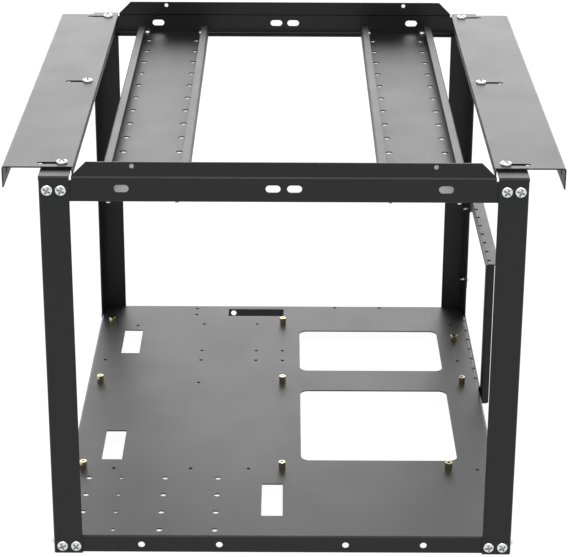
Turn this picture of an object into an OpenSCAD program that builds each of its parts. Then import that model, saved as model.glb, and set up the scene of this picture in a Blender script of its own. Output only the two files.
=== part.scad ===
/* [Overall] */
// Width over the outer faces of the corner posts
frame_w = 334.8; // [320:1:360]
// Depth over the outer faces of the corner posts
frame_d = 433; // [425:1:460]
// Height of the tabs that close the tops of the posts
post_h = 292.6; // [280:0.2:320]
// Thickness of every folded sheet
sheet = 1.0; // [0.8:0.1:1.2]
// Inner radius of every fold
fold_r = 0.8; // [0.5:0.1:1]

/* [Base tray] */
// Height of the tray's upper face above the floor
tray_top = 13.6; // [13:0.1:16]
// Clear height left under the tray's lips
tray_clear = 0.6; // [0.4:0.1:1]
// Open notch at each end of a lip, so that the corner can fold
corner_relief = 2.6; // [2.4:0.1:4]
// Width of a cable slot
cable_slot_w = 16; // [12:0.5:18]
// Length of a cable slot
cable_slot_l = 50.5; // [40:0.5:52]
// Width of both large windows
window_w = 123.3; // [110:0.1:125]
// Corner radius of the large windows
window_r = 7; // [4:0.5:10]
// Radius of the holes in the front and rear lips
lip_hole_r = 2.5; // [2:0.1:3]
// Distance between the two outer holes of a lip
lip_hole_span_outer = 206.8; // [200:0.1:215]
// Distance between the two inner holes of a lip
lip_hole_span_inner = 92.6; // [85:0.1:100]
// Radius of the tray's large round holes
round_hole_r = 2.3; // [2:0.1:2.5]
// Distance between the rows of round holes
round_row_pitch = 27; // [24:0.5:28]

/* [Board standoffs] */
// Distance from the frame's left side to the left column of standoffs
board_in = 11.8; // [11:0.1:17]
// Place of the front row of standoffs, along the frame
board_y = -109.2; // [-112:0.1:-105]
// Across the flats of a standoff
standoff_af = 5; // [4.5:0.1:5.5]
// Height of a standoff above the tray
standoff_h = 6.5; // [6:0.1:10]
// Radius of the bore in a standoff
standoff_bore_r = 1.5; // [1.3:0.05:1.6]

/* [Posts] */
// Width of a post's face, across the frame
post_face_w = 21; // [20:0.1:22]
// Width of a post's side flange, along the frame
post_side_w = 20; // [18:0.5:22]
// Length of the tab folded over a post's top
tab_l = 30; // [29:0.5:34]

/* [Top rails] */
// Distance from the posts' tops down to the rails' underside
rail_drop = 18.7; // [16:0.1:24]
// Depth of the rails' lower flange
rail_flange_d = 9.8; // [9:0.1:12]
// Distance from the posts' tops down to the fold under the rails' upper lip
rail_fold_drop = 0.4; // [0:0.1:1.4]
// Rise of the rails' upper edge above the posts' tops
rail_rise = 10; // [8:0.1:13]
// Step between the rails' face and their upper lip
rail_step = 0.9; // [0.6:0.1:1]
// Length of a slot in the rails' face
face_slot_l = 10.2; // [9:0.1:12]
// Width of a slot in the rails' face
face_slot_w = 5.2; // [5:0.1:6]
// Distance from the posts' tops down to the slots in the rails' face
face_slot_drop = 8.8; // [8:0.1:10]
// Distance between the two outer face slots
face_slot_span = 221.8; // [215:0.1:225]
// Distance between the two middle face slots
face_slot_pair = 14.7; // [14:0.1:18]
// Distance between the two holes of the upper lip
rail_hole_span = 207.2; // [200:0.1:215]
// Radius of the holes of the upper lip
rail_hole_r = 1.6; // [1.4:0.05:2]

/* [Side rails and wings] */
// Distance from the frame's front and rear to the ends of the side rails and wings
wing_end_in = 14.8; // [12:0.1:19]
// Width of a wing plate
wing_w = 49; // [46:0.5:52]
// Distance from the frame's side in to a wing's inner edge
wing_in = 22.4; // [21:0.1:23]
// Depth of a wing's outer flange
wing_flange_h = 15.3; // [12:0.1:17]
// Depth of a side rail's folded lips
side_lip_h = 5; // [4:0.1:6]
// Distance from the frame's side in to the wing screws
wing_screw_side = 14.4; // [13:0.1:15]
// Distance from the frame's front and rear to the end wing screws
wing_screw_in = 22.5; // [21:0.1:24]
// Travel of a wing along its slots
wing_travel = 15; // [12:0.5:15]
// Radius of the hole near each end of a wing's flange
wing_hole_r = 2.8; // [2.5:0.1:3.2]

/* [Card channels] */
// Place of a channel's middle, across the frame
channel_x = 96.9; // [95:0.1:98]
// Width of a channel
channel_w = 61; // [60:0.5:62]
// Height of a channel over its lips
channel_h = 10.4; // [9:0.1:12]
// Width of a channel's inward lip
channel_lip = 6; // [5:0.1:7]
// Distance from the frame's front and rear to the ends of the channel's walls
channel_end_in = 15.5; // [13:0.1:22]
// Distance between the two rows of floor holes
channel_row_span = 40.9; // [38:0.1:43]
// Distance between the holes of a row
channel_pitch = 33.24; // [32:0.01:33.5]
// Distance from a channel's rear end to its first floor holes
channel_first_in = 15.6; // [14:0.1:26]
// Radius of the floor holes
channel_hole_r = 2.5; // [1.8:0.1:2.8]

/* [Card slot bracket] */
// Place of the bracket's front flange, along the frame
bracket_front_y = 37.5; // [36:0.1:42]
// Height of the bracket's top flange above the tray
bracket_rise = 113.9; // [106:0.1:117]
// Width of the bracket's top flange
bracket_top_w = 11; // [10:0.1:12]
// Width of the bracket's front flange
bracket_front_w = 7; // [6:0.1:8]
// Distance between the card screw holes
card_pitch = 20.32; // [20:0.01:20.5]

/* [Screws] */
// Radius of the large screws' shank
screw_r = 1.95; // [1.7:0.05:2]
// Radius of the large screws' head
screw_head_r = 4; // [3.6:0.1:4.2]
// Height of the large screws' head
screw_head_h = 2.5; // [2:0.1:3]
// Radius of the small screws' shank
small_screw_r = 1.45; // [1.2:0.05:1.5]
// Radius of the small screws' head
small_head_r = 2.8; // [2.5:0.1:3]
// Height of the small screws' head
small_head_h = 2.2; // [1.6:0.1:2.6]

/* [Hidden] */

// Facets round a hole or a screw, and round a fold or a window's corner
$fn = 13;
fold_fn = 16;
eps = 0.01;
far = 1000;

half_w = frame_w / 2;
half_d = frame_d / 2;
bend_r = fold_r + sheet;
hole_gap = 0.2;
inner_w = half_w - sheet;
inner_d = half_d - sheet;

// Tray
tray_lip_h = tray_top - tray_clear;
tray_flat_w = inner_w - bend_r;
tray_flat_d = inner_d - bend_r;
lip_hole_z = 6.5;
window_x = 76;
window_rear_y = 115.9;
window_rear_l = 85.2;
window_front_y = -30.2;
window_front_l = 128;
cable_slots = [[-134.8, 133.5, 0], [-134.8, -68.6, 0], [-8, -158.8, 0], [-25.3, 199.3, 90]];
round_cols = [-149.7, -90.9, -50];
narrow_col = -125;
narrow_hole_r = 1.6;
round_first_y = -124.8;
round_rows = 4;
tapped_r = 1.45;
tapped_x = [-132, -72, -24, -0.8, 151.9];
tapped_mid_x = -26.8;
tapped_left_x = -79.7;
tapped_right_x = [47.4, 88.4];
tapped_shift = 0.4;
tapped_corner_in = 4;
tapped_rear_in = [5.5, 8.3, 22.3];
tapped_low = 45.8;
tapped_row_gap = 20.3;

// Notches in the tray's right edge, one for the tongue of each card
notches = 7;
notch_x = half_w - 4.1;
notch_leg_w = 1.3;
notch_leg_l = 10.8;
notch_bar_w = 3.1;
notch_bar_l = 2.4;
notch_shift = 9;

// Standoffs: the board holes follow the pattern of full-size computer boards
board_col = 154.94;
board_row_front = 157.48;
board_row_rear = 124.46;
board_x = board_in - half_w;
board_row_b = board_y + board_row_front;
board_row_c = board_row_b + board_row_rear;
board_wide_col = 307.7;
board_mid_col = 284.9;
board_wide_row = 87.1;
board_holes = [
    [board_x, board_y], [board_x + board_col, board_y], [board_x + board_mid_col, board_y],
    [board_x, board_row_b], [board_x + board_col, board_row_b], [board_x + board_wide_col, board_row_b],
    [board_x, board_row_c], [board_x + board_col, board_row_c],
    [board_x + board_wide_col, board_row_b + board_wide_row]
];

// A standoff is fitted at each board hole that the tray has room for
standoff_edge = 4;
standoff_places = [for (p = board_holes)
    if (abs(p[0]) < tray_flat_w - standoff_edge && abs(p[1]) < tray_flat_d - standoff_edge) p];
standoff_shank_r = 1.75;
standoff_shank_l = 3.4;

// Post and rail screws, in their order from the frame's middle outward
top_screw_in = [15.2, 5.9];
base_screw_in = [16.3, 6.4];
top_screw_x = [for (d = top_screw_in) half_w - d];
base_screw_x = [for (d = base_screw_in) half_w - d];
top_screw_drop = 9.8;
top_screw_z = post_h - top_screw_drop;
base_screw_z = 6.2;
side_screw_in = 8.2;
side_screw_y = half_d - side_screw_in;
side_screw_z = 6.4;
tab_fold_h = 2.6;

// Rails
rail_z = post_h - rail_drop;
rail_fold_z = post_h - rail_fold_drop;
rail_top_z = post_h + rail_rise;
face_slot_z = post_h - face_slot_drop;
rail_shoulder_drop = 3;
rail_shoulder_z = post_h - rail_shoulder_drop;
rail_post_gap = 1.4;
rail_shoulder_x = half_w - post_face_w - rail_post_gap;
rail_lip_chamfer_drop = 0.2;
rail_lip_chamfer_z = post_h - rail_lip_chamfer_drop;
rail_lip_chamfer = rail_top_z - rail_lip_chamfer_z;
rail_hole_drop = 2.9;
rail_hole_z = rail_top_z - rail_hole_drop;
rail_side_gap = 0.5;
rail_end = inner_w - rail_side_gap;
rail_slope = 0.8;

// Side rails lie on the post tabs, and the wings lie on the side rails
slide_gap = 0.1;
side_rail_z = post_h + sheet;
side_rail_outer = half_w - rail_side_gap;
wing_half_l = half_d - wing_end_in;
wing_screw_y = half_d - wing_screw_in;
wing_z = side_rail_z + slide_gap + sheet;
wing_inner_x = half_w - wing_in;
wing_screw_x = half_w - wing_screw_side;
wing_outer_x = wing_inner_x + wing_w;
slot_gap = 0.25;
wing_slot_w = 2 * (screw_r + slot_gap);
wing_hole_in = 31.2;
wing_hole_y = half_d - wing_hole_in;
wing_hole_drop = 8.1;
wing_hole_z = wing_z - wing_hole_drop;
wing_slots_y = [-wing_screw_y, 0, wing_screw_y];

// Channels stand on the rails' lower flanges
channel_z = rail_z + sheet;
channel_half_l = half_d - channel_end_in;
channel_first_y = channel_half_l - channel_first_in;
channel_last_in = 12;
channel_holes = 1 + floor((channel_first_y + channel_half_l - channel_last_in) / channel_pitch);
channel_screw_span = 47.4;
channel_screw_x = [channel_x - channel_screw_span / 2, channel_x + channel_screw_span / 2];
channel_screw_in = 6.5;
channel_screw_y = half_d - channel_screw_in;
channel_end_gap = 0.3;
channel_tongue_l = inner_d - sheet - channel_end_gap;

// Card slot bracket, outside the right-hand posts
bracket_x = half_w;
bracket_top_z = tray_top + bracket_rise;
bracket_rear_in = 1.5;
bracket_rear_y = half_d - bracket_rear_in;
bracket_head_h = 4.5;
bracket_jamb_w = 6.5;
bracket_strip_w = 11;
bracket_strip_l = 90.2;
bracket_strip_z = bracket_top_z - bracket_strip_l;
bracket_gusset_y = 41;
bracket_gusset_z = 16.5;
bracket_corner_r = 2.2;
bracket_sill_drop = 1;
bracket_sill_gap = 0.5;
bracket_sill_z = tray_top - bracket_sill_drop;
bracket_sill_rear_y = half_d - post_side_w - bracket_sill_gap;
card_hole_out = 3;
card_hole_x = bracket_x + card_hole_out;
card_hole_r = 1.6;
card_hole_in = 8.5;
card_first_y = bracket_front_y + card_hole_in;
bracket_screw_y = bracket_rear_y - bracket_strip_w / 2;
bracket_screw_drop = [84, 14.8];
bracket_screw_z = [for (d = bracket_screw_drop) bracket_top_z - d];

// Screws
head_taper = 0.75;
screw_l = 6;
wing_screw_l = 7.5;
channel_screw_l = 4.2;
bracket_screw_l = 5.5;

// An L-shaped fold: the outer corner is at the origin and the legs run along +X and +Y
module fold_2d(a, b) {
    translate([bend_r, 0]) square([a - bend_r, sheet]);
    translate([0, bend_r]) square([sheet, b - bend_r]);
    intersection() {
        translate([bend_r, bend_r]) difference() {
            circle(bend_r, $fn = fold_fn);
            circle(fold_r, $fn = fold_fn);
        }
        square(bend_r);
    }
}

// A rectangle with round corners, centred on the origin
module round_rect_2d(w, h, r) {
    square([w, h - 2 * r], center = true);
    square([w - 2 * r, h], center = true);
    for (x = [-1, 1], y = [-1, 1])
        translate([x * (w / 2 - r), y * (h / 2 - r)]) circle(r, $fn = fold_fn);
}

// A slot with round ends, centred on the origin, l long along X and w wide
module slot_2d(l, w) {
    square([l - w, w], center = true);
    for (x = [-1, 1]) translate([x * (l - w) / 2, 0]) circle(w / 2, $fn = fold_fn);
}

// A profile drawn in the Y-Z plane, extruded l along X about the middle
module along_x(l) {
    rotate([90, 0, 90]) linear_extrude(l, center = true) children();
}

// A profile drawn in the X-Z plane, extruded l along Y about the middle
module along_y(l) {
    rotate([90, 0, 0]) linear_extrude(l, center = true) children();
}

// A drill of radius r from the origin, half_l each way along the axis
module drill_x(r, half_l = 4) { rotate([0, 90, 0]) cylinder(h = 2 * half_l, r = r, center = true); }
module drill_y(r, half_l = 4) { rotate([90, 0, 0]) cylinder(h = 2 * half_l, r = r, center = true); }
module drill_z(r, half_l = 4) { cylinder(h = 2 * half_l, r = r, center = true); }

// Children drawn for the front-left corner, moved to the corner on side sx and end sy
module to_corner(sx, sy) {
    mirror([sx > 0 ? 1 : 0, 0, 0]) mirror([0, sy > 0 ? 1 : 0, 0]) children();
}

// Children drawn for the left side, moved to side sx
module to_side(sx) { mirror([sx > 0 ? 1 : 0, 0, 0]) children(); }

// Children drawn for the front end, moved to end sy
module to_end(sy) { mirror([0, sy > 0 ? 1 : 0, 0]) children(); }

// Pan-head screw along Z: the seat is at z = 0, the head is above it, the shank below
module pan_screw(r, head_r, head_h, l) {
    cylinder(h = head_h, r1 = head_r, r2 = head_r * head_taper);
    translate([0, 0, -l]) cylinder(h = l + eps, r = r);
}

module large_screw(l = screw_l) { pan_screw(screw_r, screw_head_r, screw_head_h, l); }
module small_screw(l) { pan_screw(small_screw_r, small_head_r, small_head_h, l); }

// One folded lip of the tray, outer face towards -Y, upper face at the tray's top
module tray_lip(l) {
    along_x(l) translate([0, tray_top]) mirror([0, 1]) fold_2d(bend_r + 1, tray_lip_h);
}

module tray_sheet() {
    translate([0, 0, tray_top - sheet / 2])
        cube([2 * tray_flat_w, 2 * tray_flat_d, sheet], center = true);
    for (s = [-1, 1]) {
        to_end(s) translate([0, -inner_d, 0]) tray_lip(2 * (inner_w - corner_relief));
        to_side(s) translate([-inner_w, 0, 0]) rotate([0, 0, -90])
            tray_lip(2 * (inner_d - corner_relief));
    }
}

module tray_windows() {
    through = 4 * sheet;
    translate([0, 0, tray_top - through / 2]) linear_extrude(through) {
        translate([window_x, window_rear_y]) round_rect_2d(window_w, window_rear_l, window_r);
        translate([window_x, window_front_y]) round_rect_2d(window_w, window_front_l, window_r);
        for (c = cable_slots)
            translate([c[0], c[1]]) rotate(c[2]) square([cable_slot_w, cable_slot_l], center = true);
        for (i = [0 : notches - 1])
            translate([notch_x, card_first_y + notch_shift + i * card_pitch]) notch_2d();
    }
}

// An L-shaped notch: a leg along the edge and a bar out to the fold at its rear end
module notch_2d() {
    translate([0, -notch_leg_l / 2]) square([notch_leg_w, notch_leg_l]);
    translate([0, notch_leg_l / 2 - notch_bar_l]) square([notch_bar_w, notch_bar_l]);
}

module tray_round_holes() {
    for (i = [0 : round_rows - 1]) {
        for (x = round_cols) translate([x, round_first_y - i * round_row_pitch, tray_top]) drill_z(round_hole_r);
        translate([narrow_col, round_first_y - i * round_row_pitch, tray_top]) drill_z(narrow_hole_r);
    }
}

// Threaded holes for the smaller board sizes
module tray_tapped_holes() {
    low_row = board_row_b + tapped_low;
    front_row = board_y + tapped_shift;
    rear = [for (d = tapped_rear_in) half_d - d];
    places = [
        [tapped_x[0], front_row], [tapped_x[1], front_row], [tapped_mid_x, front_row],
        [tapped_x[4], board_y], [tapped_x[1], board_row_b], [tapped_x[1], board_row_c],
        [tapped_x[2], board_row_c], [tapped_x[4], board_row_c],
        [tapped_x[1], low_row], [tapped_x[2], low_row], [tapped_x[3], low_row], [board_x, low_row],
        [tapped_x[4], low_row],
        [tapped_x[1], low_row + tapped_row_gap], [tapped_x[2], low_row + tapped_row_gap],
        [tapped_x[3], low_row + tapped_row_gap],
        [tapped_x[0], board_row_c - tapped_corner_in], [tapped_left_x, rear[2]], [tapped_left_x, rear[1]],
        [tapped_right_x[0], rear[0]], [tapped_right_x[1], rear[0]]
    ];
    for (p = places) translate([p[0], p[1], tray_top]) drill_z(tapped_r);
}

module base_tray() {
    color([0.2, 0.2, 0.21]) difference() {
        tray_sheet();
        tray_windows();
        tray_round_holes();
        tray_tapped_holes();
        for (p = standoff_places) translate([p[0], p[1], tray_top]) drill_z(standoff_shank_r + hole_gap);
        for (sx = [-1, 1], sy = [-1, 1]) {
            translate([sx * lip_hole_span_outer / 2, sy * inner_d, lip_hole_z]) drill_y(lip_hole_r);
            translate([sx * lip_hole_span_inner / 2, sy * inner_d, lip_hole_z]) drill_y(lip_hole_r);
            for (x = base_screw_x)
                translate([sx * x, sy * inner_d, base_screw_z]) drill_y(screw_r + hole_gap);
            translate([sx * inner_w, sy * side_screw_y, side_screw_z]) drill_x(small_screw_r + hole_gap);
        }
    }
}

module standoffs() {
    hex_r = standoff_af / sqrt(3);
    color([0.8, 0.66, 0.32]) for (p = standoff_places) translate([p[0], p[1], tray_top]) {
        difference() {
            union() {
                cylinder(h = standoff_h, r = hex_r, $fn = 6);
                translate([0, 0, -standoff_shank_l]) cylinder(h = standoff_shank_l + eps, r = standoff_shank_r);
            }
            translate([0, 0, standoff_h / 2]) cylinder(h = standoff_h, r = standoff_bore_r);
        }
    }
}

// The front-left post: the outer corner stands at the frame's corner
module post() {
    translate([-half_w, -half_d, 0]) {
        linear_extrude(post_h - tab_fold_h) fold_2d(post_face_w, post_side_w);
        translate([post_face_w / 2, 0, post_h]) along_x(post_face_w)
            mirror([0, 1]) fold_2d(tab_l, tab_fold_h + eps);
    }
}

module post_holes() {
    for (x = top_screw_x) translate([-x, -half_d, top_screw_z]) drill_y(screw_r + hole_gap);
    for (x = base_screw_x) translate([-x, -half_d, base_screw_z]) drill_y(screw_r + hole_gap);
    translate([-half_w, -side_screw_y, side_screw_z]) drill_x(small_screw_r + hole_gap);
    translate([-wing_screw_x, -wing_screw_y, post_h]) drill_z(screw_r + hole_gap);
}

module corner_post(sx, sy) {
    color([0.13, 0.13, 0.14]) to_corner(sx, sy) difference() {
        post();
        post_holes();
    }
}

module post_front_left() { corner_post(-1, -1); }
module post_front_right() { corner_post(1, -1); }
module post_rear_left() { corner_post(-1, 1); }
module post_rear_right() {
    difference() {
        corner_post(1, 1);
        for (z = bracket_screw_z)
            translate([half_w, bracket_screw_y, z]) drill_x(small_screw_r + hole_gap);
    }
}

// Section of a top rail in the Y-Z plane: the face's outer side is at y = 0
module rail_section_2d() {
    fold_top = rail_fold_z - rail_z;
    lip_top = rail_top_z - rail_z;
    fold_2d(rail_flange_d, 2 * bend_r);
    polygon([
        [0, 2 * bend_r], [sheet, 2 * bend_r], [sheet, fold_top - rail_slope - sheet / 2],
        [rail_step + sheet, fold_top - sheet / 2], [rail_step + sheet, lip_top],
        [rail_step, lip_top], [rail_step, fold_top], [0, fold_top - rail_slope]
    ]);
}

// Outline of a top rail in the X-Z plane: the ends pass behind the posts below the shoulder
module rail_outline_2d() {
    x_top = rail_shoulder_x - rail_lip_chamfer;
    polygon([
        [-rail_end, rail_z - 1], [rail_end, rail_z - 1], [rail_end, rail_shoulder_z],
        [rail_shoulder_x, rail_shoulder_z], [rail_shoulder_x, rail_lip_chamfer_z],
        [x_top, rail_top_z], [-x_top, rail_top_z],
        [-rail_shoulder_x, rail_lip_chamfer_z], [-rail_shoulder_x, rail_shoulder_z],
        [-rail_end, rail_shoulder_z]
    ]);
}

module top_rail(sy) {
    color([0.13, 0.13, 0.14]) to_end(sy) translate([0, -inner_d, 0]) difference() {
        intersection() {
            translate([0, 0, rail_z]) along_x(2 * half_w) rail_section_2d();
            along_y(6 * rail_flange_d) rail_outline_2d();
        }
        along_y(3 * rail_flange_d) for (s = [-1, 1]) {
            translate([s * face_slot_span / 2, face_slot_z]) slot_2d(face_slot_l, face_slot_w);
            translate([s * face_slot_pair / 2, face_slot_z]) slot_2d(face_slot_l, face_slot_w);
        }
        for (s = [-1, 1]) {
            translate([s * rail_hole_span / 2, 0, rail_hole_z]) drill_y(rail_hole_r);
            for (x = top_screw_x) translate([s * x, 0, top_screw_z]) drill_y(screw_r + hole_gap);
            for (x = channel_screw_x)
                translate([s * x, inner_d - channel_screw_y, rail_z]) drill_z(small_screw_r + hole_gap);
        }
    }
}

module top_rail_front() { top_rail(-1); }
module top_rail_rear() { top_rail(1); }

// The left side rail: an inverted tray whose outer lip is left out beside the post tabs
module side_rail(sx) {
    w = side_rail_outer - wing_inner_x;
    outer_l = 2 * (half_d - tab_l - 2);
    color([0.13, 0.13, 0.14]) to_side(sx) difference() {
        union() {
            translate([-wing_inner_x, 0, side_rail_z]) mirror([1, 0, 0]) mirror([0, 0, 1])
                along_y(2 * wing_half_l) fold_2d(w - bend_r, side_lip_h);
            translate([-side_rail_outer, 0, side_rail_z]) mirror([0, 0, 1])
                along_y(outer_l) fold_2d(2 * bend_r, side_lip_h);
            translate([-side_rail_outer, -wing_half_l, side_rail_z - sheet])
                cube([2 * bend_r, 2 * wing_half_l, sheet]);
        }
        translate([-side_rail_outer - eps, -half_d, side_rail_z - sheet - eps])
            cube([eps, 2 * half_d, sheet + 2 * eps]);
        for (y = wing_slots_y) translate([-wing_screw_x, y, side_rail_z]) drill_z(screw_r + hole_gap);
    }
}

module side_rail_left() { side_rail(-1); }
module side_rail_right() { side_rail(1); }

// The left wing: a slotted plate with its outer edge folded down
module wing(sx) {
    slot_l = wing_travel + wing_slot_w;
    color([0.16, 0.16, 0.17]) to_side(sx) difference() {
        translate([-wing_outer_x, 0, wing_z]) mirror([0, 0, 1])
            along_y(2 * wing_half_l) fold_2d(wing_w, wing_flange_h);
        for (y = wing_slots_y)
            translate([-wing_screw_x - wing_travel / 2, y, wing_z - 2 * sheet])
                linear_extrude(4 * sheet) slot_2d(slot_l, wing_slot_w);
        for (y = [-wing_hole_y, wing_hole_y])
            translate([-wing_outer_x, y, wing_hole_z]) drill_x(wing_hole_r);
    }
}

module wing_left() { wing(-1); }
module wing_right() { wing(1); }

// Section of a card channel in the X-Z plane: floor, two walls and two inward lips
module channel_section_2d() {
    translate([0, channel_h / 2]) difference() {
        round_rect_2d(channel_w, channel_h, bend_r);
        round_rect_2d(channel_w - 2 * sheet, channel_h - 2 * sheet, fold_r);
        translate([-channel_w / 2 + channel_lip, 0]) square([channel_w - 2 * channel_lip, channel_h]);
    }
}

module channel(sx) {
    color([0.16, 0.16, 0.17]) translate([sx * channel_x, 0, channel_z]) difference() {
        union() {
            along_y(2 * channel_half_l) channel_section_2d();
            translate([0, 0, sheet / 2])
                cube([channel_w - 2 * bend_r, 2 * channel_tongue_l, sheet], center = true);
        }
        for (s = [-1, 1], i = [0 : channel_holes - 1])
            translate([s * channel_row_span / 2, channel_first_y - i * channel_pitch, 0])
                drill_z(channel_hole_r);
        for (x = channel_screw_x, y = [-channel_screw_y, channel_screw_y])
            translate([x - channel_x, y, 0]) drill_z(small_screw_r + hole_gap);
    }
}

module channel_left() { channel(-1); }
module channel_right() { channel(1); }

// Outline of the bracket's plate in the Y-Z plane: a jamb, a head and a strip along the post
module bracket_outline_2d() {
    head_z = bracket_top_z - bracket_head_h;
    strip_y = bracket_rear_y - bracket_strip_w;
    fold_top = bracket_top_z - bend_r;
    translate([bracket_front_y + bend_r, 0]) square([bracket_jamb_w - bend_r, fold_top]);
    translate([bracket_front_y + bend_r, head_z])
        square([bracket_rear_y - bracket_front_y - bend_r, fold_top - head_z]);
    translate([strip_y, bracket_strip_z]) square([bracket_strip_w, fold_top - bracket_strip_z]);
    polygon([
        [bracket_rear_y - bracket_gusset_y, head_z + 1], [bracket_rear_y - bracket_gusset_y, head_z],
        [strip_y, bracket_top_z - bracket_gusset_z], [strip_y + 1, bracket_top_z - bracket_gusset_z],
        [strip_y + 1, head_z + 1]
    ]);
}

// The outward flange at the bracket's front, with its lower outer corner rounded
module bracket_front_flange() {
    intersection() {
        translate([0, bracket_front_y, 0]) linear_extrude(bracket_top_z - sheet)
            fold_2d(bracket_front_w, bracket_jamb_w / 2);
        translate([0, bracket_front_y, 0]) along_y(4 * bracket_jamb_w) {
            translate([-1, 0]) square([bracket_front_w + 1 - bracket_corner_r, far]);
            translate([-1, bracket_corner_r]) square([bracket_front_w + 1, far]);
            translate([bracket_front_w - bracket_corner_r, bracket_corner_r])
                circle(bracket_corner_r, $fn = fold_fn);
        }
    }
}

// The sill along the tray's lip: it is set in by one sheet behind the front jamb
module bracket_sill() {
    jamb_y = bracket_front_y + bracket_jamb_w;
    linear_extrude(bracket_sill_z) polygon([
        [0, jamb_y - 2 * sheet], [sheet, jamb_y - 2 * sheet], [sheet, jamb_y],
        [0, jamb_y + 1.5 * sheet], [0, bracket_sill_rear_y], [-sheet, bracket_sill_rear_y],
        [-sheet, jamb_y + sheet], [0, jamb_y - sheet / 2]
    ]);
}

module slot_bracket() {
    top_l = bracket_rear_y - bracket_front_y;
    color([0.13, 0.13, 0.14]) translate([bracket_x, 0, 0]) difference() {
        union() {
            rotate([90, 0, 90]) linear_extrude(sheet) bracket_outline_2d();
            translate([0, bracket_front_y + top_l / 2, bracket_top_z]) mirror([0, 0, 1])
                along_y(top_l) fold_2d(bracket_top_w, bend_r + 1);
            bracket_front_flange();
            bracket_sill();
        }
        for (i = [0 : notches - 1])
            translate([card_hole_x - bracket_x, card_first_y + i * card_pitch, bracket_top_z])
                drill_z(card_hole_r);
        for (z = bracket_screw_z) translate([0, bracket_screw_y, z]) drill_x(small_screw_r + hole_gap);
    }
}

// Screws through the faces of the posts, at the places xs and height z, at end sy
module face_screws(sy, xs, z) {
    color([0.78, 0.79, 0.8]) to_end(sy) for (s = [-1, 1], x = xs)
        translate([s * x, -half_d, z]) rotate([90, 0, 0]) large_screw();
}

module front_top_screws() { face_screws(-1, top_screw_x, top_screw_z); }
module rear_top_screws() { face_screws(1, top_screw_x, top_screw_z); }
module front_base_screws() { face_screws(-1, base_screw_x, base_screw_z); }
module rear_base_screws() { face_screws(1, base_screw_x, base_screw_z); }

module side_base_screws() {
    color([0.78, 0.79, 0.8]) for (sx = [-1, 1], sy = [-1, 1]) to_side(sx)
        translate([-half_w, sy * side_screw_y, side_screw_z]) rotate([0, -90, 0]) small_screw(screw_l);
}

module wing_screws(sx) {
    color([0.78, 0.79, 0.8]) for (y = wing_slots_y)
        translate([sx * wing_screw_x, y, wing_z + slide_gap]) large_screw(wing_screw_l);
}

module wing_screws_left() { wing_screws(-1); }
module wing_screws_right() { wing_screws(1); }

module channel_screws(sx) {
    color([0.78, 0.79, 0.8]) for (x = channel_screw_x, y = [-channel_screw_y, channel_screw_y])
        translate([sx * x, y, channel_z + sheet]) small_screw(channel_screw_l);
}

module channel_screws_left() { channel_screws(-1); }
module channel_screws_right() { channel_screws(1); }

module bracket_screws() {
    color([0.78, 0.79, 0.8]) for (z = bracket_screw_z)
        translate([bracket_x + sheet, bracket_screw_y, z]) rotate([0, 90, 0]) small_screw(bracket_screw_l);
}

base_tray();
standoffs();
slot_bracket();
post_front_left();
post_front_right();
post_rear_left();
post_rear_right();
top_rail_front();
top_rail_rear();
side_rail_left();
side_rail_right();
wing_left();
wing_right();
channel_left();
channel_right();
front_top_screws();
rear_top_screws();
front_base_screws();
rear_base_screws();
side_base_screws();
wing_screws_left();
wing_screws_right();
channel_screws_left();
channel_screws_right();
bracket_screws();
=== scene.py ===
"""Looks of an open frame of folded sheet: satin black powder coat, brass standoffs, zinc screws."""
import itertools
import math

import bmesh
import bpy
from mathutils import Matrix, Vector


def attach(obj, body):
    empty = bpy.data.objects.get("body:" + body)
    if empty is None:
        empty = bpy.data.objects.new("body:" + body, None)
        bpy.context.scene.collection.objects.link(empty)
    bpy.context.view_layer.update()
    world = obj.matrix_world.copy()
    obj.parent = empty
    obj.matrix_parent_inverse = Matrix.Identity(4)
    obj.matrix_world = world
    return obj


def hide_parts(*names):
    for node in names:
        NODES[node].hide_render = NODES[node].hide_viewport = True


bl_info = {
    "name": "Open Sheet Frame",
    "version": (1, 0, 0),
    "blender": (4, 5, 0),
    "location": "3D View > Sidebar > Sheet Frame",
    "description": "Dresses an open frame of folded sheet with its coating, screws and standoffs",
    "category": "Object",
}

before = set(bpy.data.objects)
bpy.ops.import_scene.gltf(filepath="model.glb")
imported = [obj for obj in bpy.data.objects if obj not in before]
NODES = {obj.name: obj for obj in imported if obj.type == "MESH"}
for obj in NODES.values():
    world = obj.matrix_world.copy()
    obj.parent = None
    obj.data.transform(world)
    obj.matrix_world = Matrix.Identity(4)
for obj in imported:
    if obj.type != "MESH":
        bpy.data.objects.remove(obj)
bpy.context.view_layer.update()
MM = 0.001

# Folded and coated sheets of the fixed frame, and the two wings that slide on it
FRAME_SHEETS = ("base_tray", "slot_bracket", "post_front_left", "post_front_right", "post_rear_left",
                "post_rear_right", "top_rail_front", "top_rail_rear", "side_rail_left",
                "side_rail_right", "channel_left", "channel_right")
WING_SHEETS = ("wing_left", "wing_right")

# Nodes that hold screws: the screw's kind and the axis that its head faces along
SCREW_NODES = {
    "front_top_screws": ("large", 1), "rear_top_screws": ("large", 1),
    "front_base_screws": ("large", 1), "rear_base_screws": ("large", 1),
    "wing_screws_left": ("large", 2), "wing_screws_right": ("large", 2),
    "channel_screws_left": ("small", 2), "channel_screws_right": ("small", 2),
    "side_base_screws": ("small", 0), "bracket_screws": ("small", 0),
}
# Turn that brings +Z to each direction
QUARTER = math.radians(90)
FACING = {(0, 1): (0.0, QUARTER, 0.0), (0, -1): (0.0, -QUARTER, 0.0), (1, 1): (-QUARTER, 0.0, 0.0),
          (1, -1): (QUARTER, 0.0, 0.0), (2, 1): (0.0, 0.0, 0.0)}
# Seeds of the random turns. Each screw node takes two from the first one on.
FIRST_SCREW_SEED, STANDOFF_SEED, COLLAR_SEED = 20, 7, 3

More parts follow.
